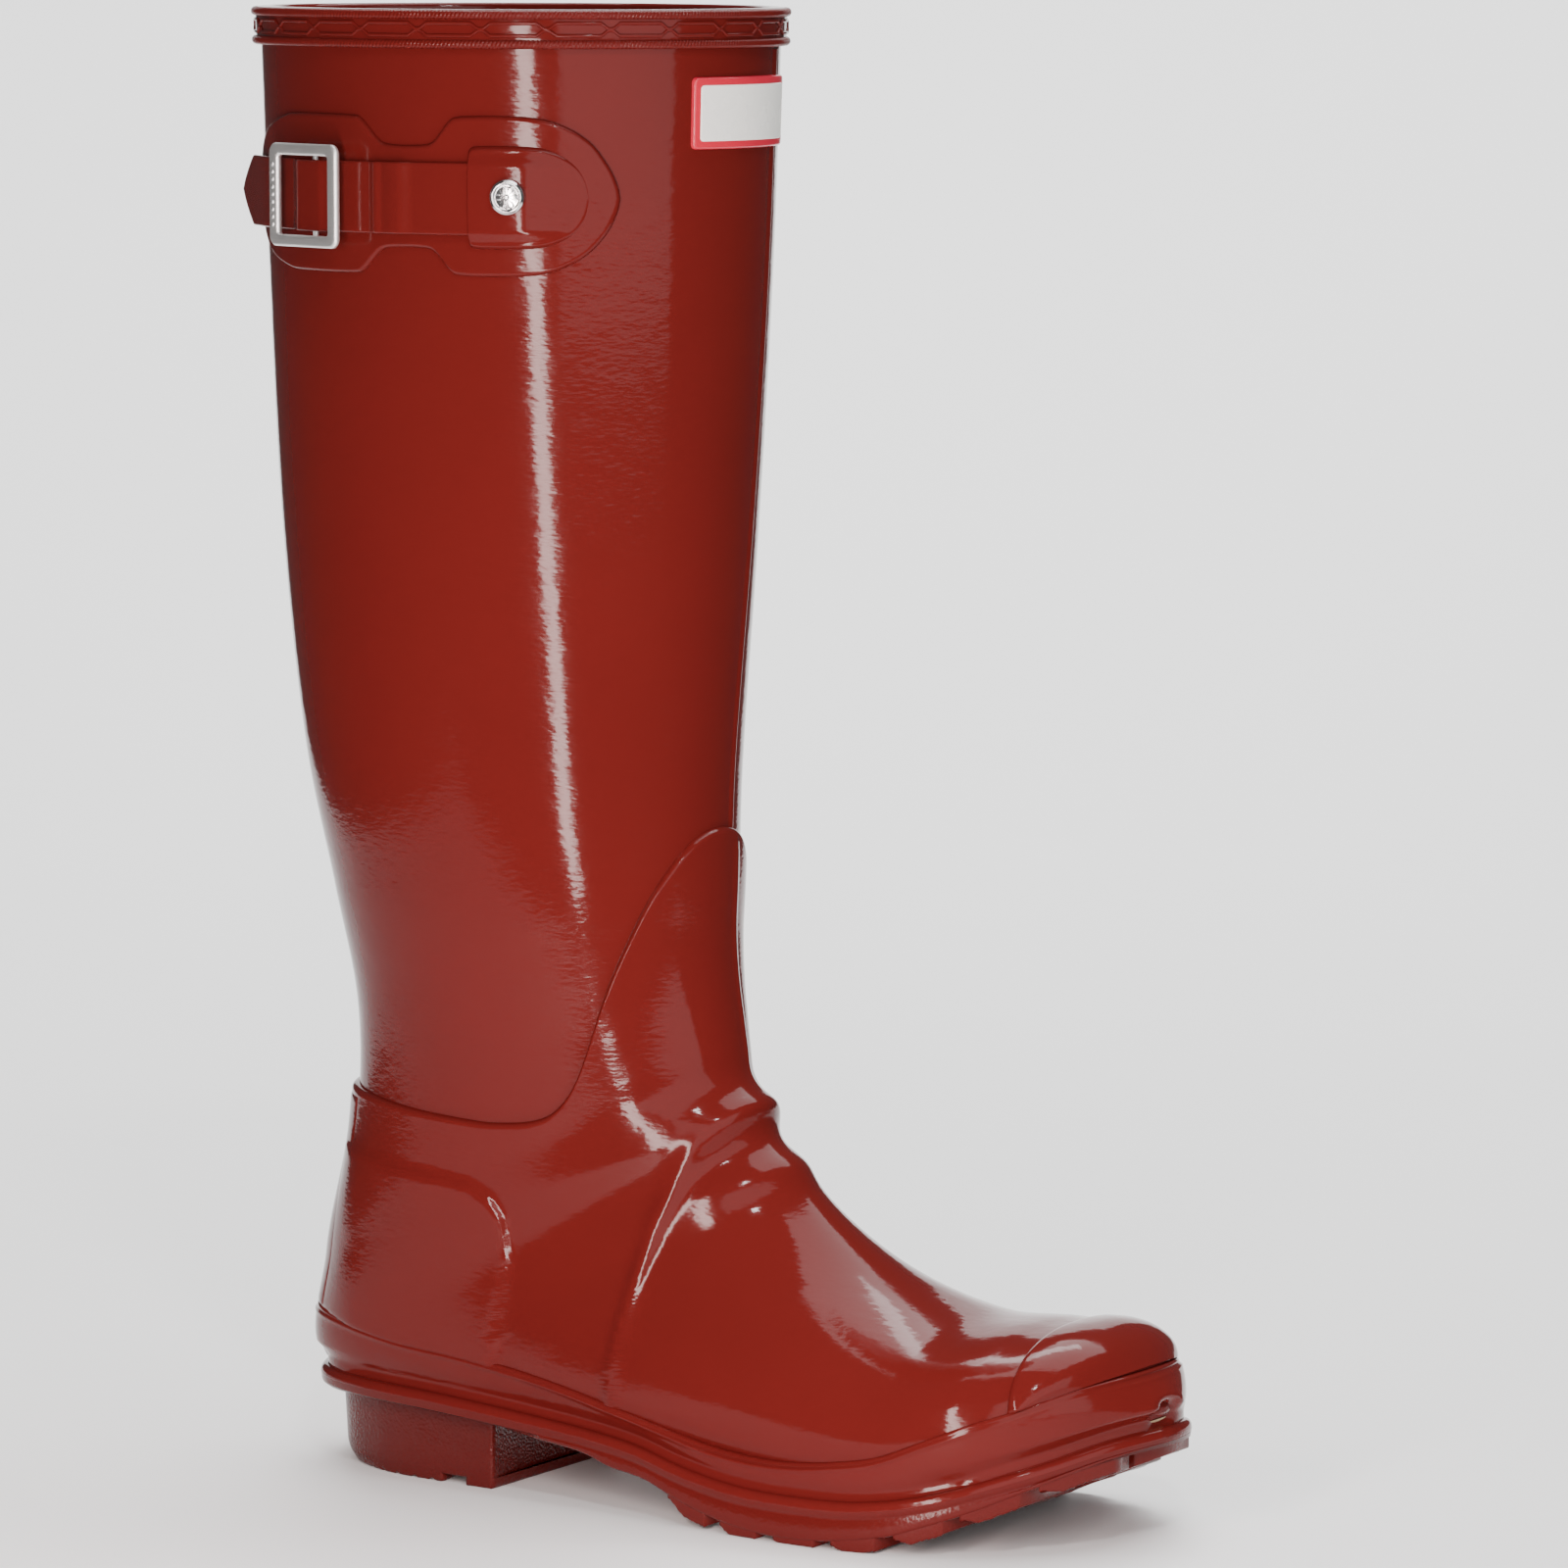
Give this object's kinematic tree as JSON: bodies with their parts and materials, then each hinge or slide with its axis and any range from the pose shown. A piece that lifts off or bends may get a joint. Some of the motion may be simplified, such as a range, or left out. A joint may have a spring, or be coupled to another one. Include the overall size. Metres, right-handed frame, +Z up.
{
  "type": "rubber rain boot",
  "caption": "Tall gloss rubber rain boot with a lugged heel and sole, a ribbed top band, and an outer side strap with a metal buckle and stud.",
  "frame": {"origin": "ground level under the middle of the boot's bounding box", "axes": "+X towards the toe, +Y towards the inner side of the leg, +Z up the leg"},
  "size_m": [0.279, 0.1274, 0.4],
  "materials": {
    "gloss_rubber": "high gloss lacquered",
    "inner_rubber": "matte moulded",
    "cloth": "knitted",
    "board": "pressed fibre",
    "steel": "satin",
    "chrome": "polished",
    "label_red": "gloss",
    "label_white": "gloss"
  },
  "bodies": {
    "boot": {"lining": "cloth", "leg_shaft": "gloss_rubber", "heel_counter": "inner_rubber", "vamp_reinforcement": "inner_rubber", "toe_puff": "inner_rubber", "insole_board": "board", "shank": "steel", "insole": "cloth", "foot_upper": "gloss_rubber", "foxing_strip": "gloss_rubber", "toe_cap": "gloss_rubber", "back_strip": "gloss_rubber", "outsole": "gloss_rubber", "heel_block": "gloss_rubber", "heel_core": "inner_rubber", "top_band": "gloss_rubber", "rim_chain": "gloss_rubber", "front_seam": "gloss_rubber", "label_base": "label_red", "label_face": "label_white", "strap_base_patch": "gloss_rubber", "strap": "gloss_rubber", "strap_cover_patch": "gloss_rubber", "stud_cap": "chrome", "stud_post": "steel", "stud_washer": "steel"},
    "buckle": {"buckle_frame": "steel"},
    "strap_end": {"strap_tail": "gloss_rubber"}
  },
  "joints": [
    {"name": "buckle_tilt", "type": "hinge", "parent": "boot", "child": "buckle", "pos_m": [-0.08802, -0.0551, 0.3505], "axis": [0, 0, 1], "range_deg": [-8, 8]},
    {"name": "strap_tail_lift", "type": "hinge", "parent": "boot", "child": "strap_end", "pos_m": [-0.11546, -0.04115, 0.3505], "axis": [0, 0, 1], "range_deg": [0, 35], "stiffness_Nm_per_rad": 0.002}
  ]
}
